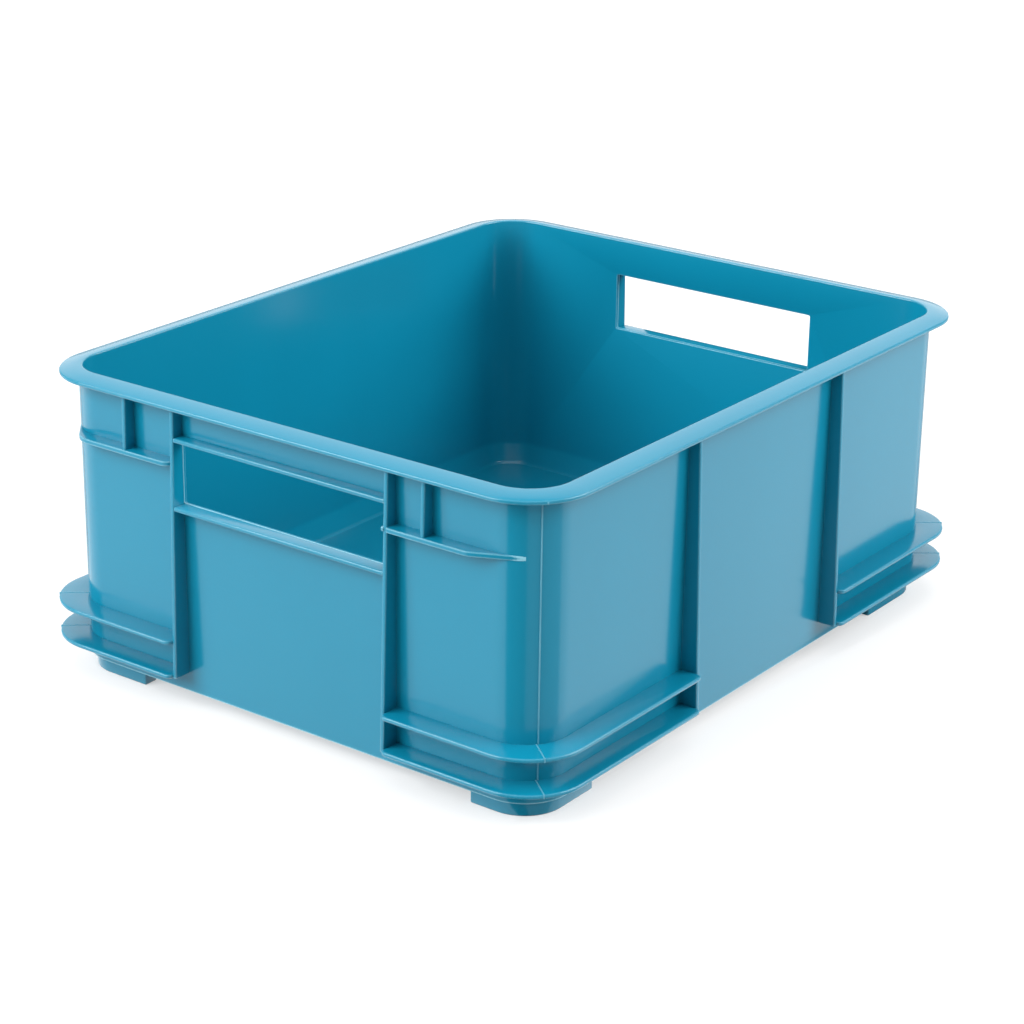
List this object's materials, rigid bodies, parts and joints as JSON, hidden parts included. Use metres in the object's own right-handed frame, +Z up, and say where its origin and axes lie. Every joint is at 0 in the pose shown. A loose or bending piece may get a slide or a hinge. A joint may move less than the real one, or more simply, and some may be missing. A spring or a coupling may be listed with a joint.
{
  "type": "stacking crate",
  "caption": "Open rectangular stacking crate with solid walls, a handle opening in each end, an outward rim and stacking flanges around its corners.",
  "frame": {"origin": "centre of the footprint, at the level that the feet stand on", "axes": "+X along the length towards the rear end wall, +Y across the width towards the left side wall, +Z up; the handle openings are in the end walls at -X and +X"},
  "size_m": [0.43, 0.35, 0.176],
  "materials": {
    "moulded_plastic": "semi-gloss moulded polypropylene, blue"
  },
  "bodies": {
    "root": {"floor_tray": "moulded_plastic", "foot_front_right": "moulded_plastic", "foot_front_left": "moulded_plastic", "foot_rear_right": "moulded_plastic", "foot_rear_left": "moulded_plastic", "lower_flange_front_right": "moulded_plastic", "flange_web_front_right": "moulded_plastic", "upper_flange_front_right": "moulded_plastic", "lower_flange_front_left": "moulded_plastic", "flange_web_front_left": "moulded_plastic", "upper_flange_front_left": "moulded_plastic", "lower_flange_rear_right": "moulded_plastic", "flange_web_rear_right": "moulded_plastic", "upper_flange_rear_right": "moulded_plastic", "lower_flange_rear_left": "moulded_plastic", "flange_web_rear_left": "moulded_plastic", "upper_flange_rear_left": "moulded_plastic", "side_wall_right_middle": "moulded_plastic", "side_wall_right_front": "moulded_plastic", "side_wall_right_rear": "moulded_plastic", "side_wall_left_middle": "moulded_plastic", "side_wall_left_front": "moulded_plastic", "side_wall_left_rear": "moulded_plastic", "end_wall_front_lower": "moulded_plastic", "end_wall_front_upper": "moulded_plastic", "end_wall_front_right": "moulded_plastic", "end_wall_front_left": "moulded_plastic", "end_wall_rear_lower": "moulded_plastic", "end_wall_rear_upper": "moulded_plastic", "end_wall_rear_right": "moulded_plastic", "end_wall_rear_left": "moulded_plastic", "corner_wall_front_right": "moulded_plastic", "corner_wall_front_left": "moulded_plastic", "corner_wall_rear_right": "moulded_plastic", "corner_wall_rear_left": "moulded_plastic", "end_rib_rear_left": "moulded_plastic", "end_rib_rear_right": "moulded_plastic", "end_rib_front_left": "moulded_plastic", "end_rib_front_right": "moulded_plastic", "side_rib_left_front": "moulded_plastic", "side_rib_left_rear": "moulded_plastic", "side_rib_right_front": "moulded_plastic", "side_rib_right_rear": "moulded_plastic", "handle_sill_rear": "moulded_plastic", "handle_lintel_rear": "moulded_plastic", "handle_sill_front": "moulded_plastic", "handle_lintel_front": "moulded_plastic", "shelf_rear_left": "moulded_plastic", "shelf_rear_right": "moulded_plastic", "shelf_front_right": "moulded_plastic", "shelf_front_left": "moulded_plastic", "rim_front": "moulded_plastic", "rim_rear": "moulded_plastic", "rim_right": "moulded_plastic", "rim_left": "moulded_plastic", "rim_corner_front_right": "moulded_plastic", "rim_corner_front_left": "moulded_plastic", "rim_corner_rear_right": "moulded_plastic", "rim_corner_rear_left": "moulded_plastic"}
  },
  "joints": []
}
